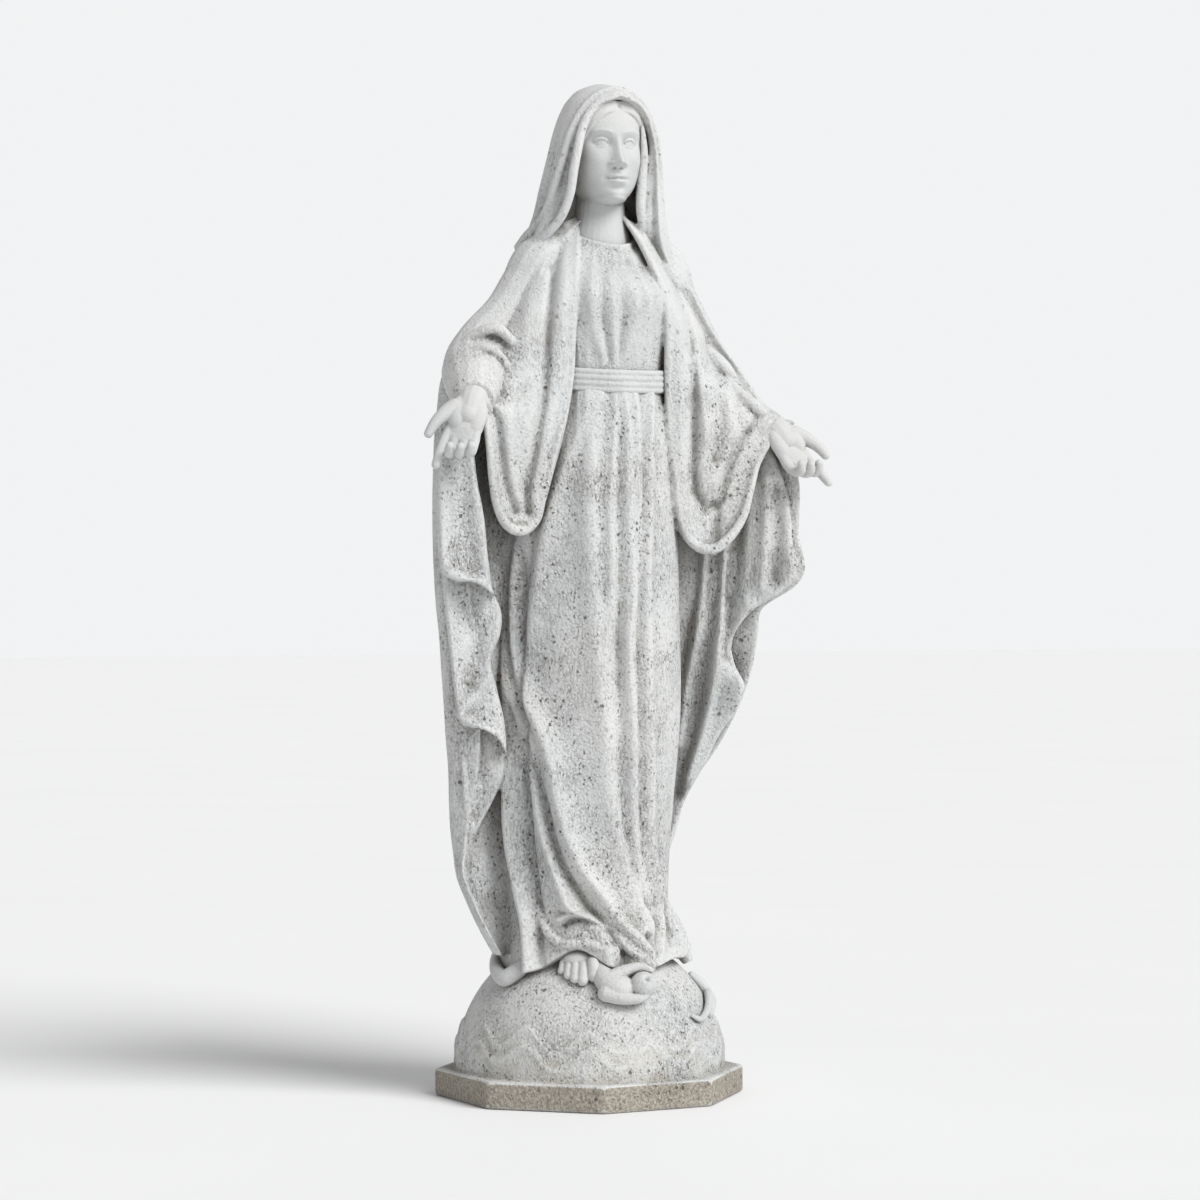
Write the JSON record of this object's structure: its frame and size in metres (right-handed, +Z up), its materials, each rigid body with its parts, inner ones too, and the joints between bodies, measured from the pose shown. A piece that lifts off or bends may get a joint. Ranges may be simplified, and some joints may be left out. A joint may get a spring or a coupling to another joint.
{
  "type": "virgin mary garden statue",
  "caption": "Cast stone garden statue of a veiled woman with open arms, standing on a globe with a serpent, on an eight-sided plinth.",
  "frame": {"origin": "middle of the plinth's underside", "axes": "+Z up, the figure faces -Y and its left hand is on the +X side"},
  "size_m": [0.328, 0.2162, 0.7595],
  "materials": {
    "cast_stone": "pale grey cast stone, fine pits, worn smooth on the ridges, brown dirt in the recesses"
  },
  "bodies": {
    "root": {"statue": "cast_stone"}
  },
  "joints": []
}
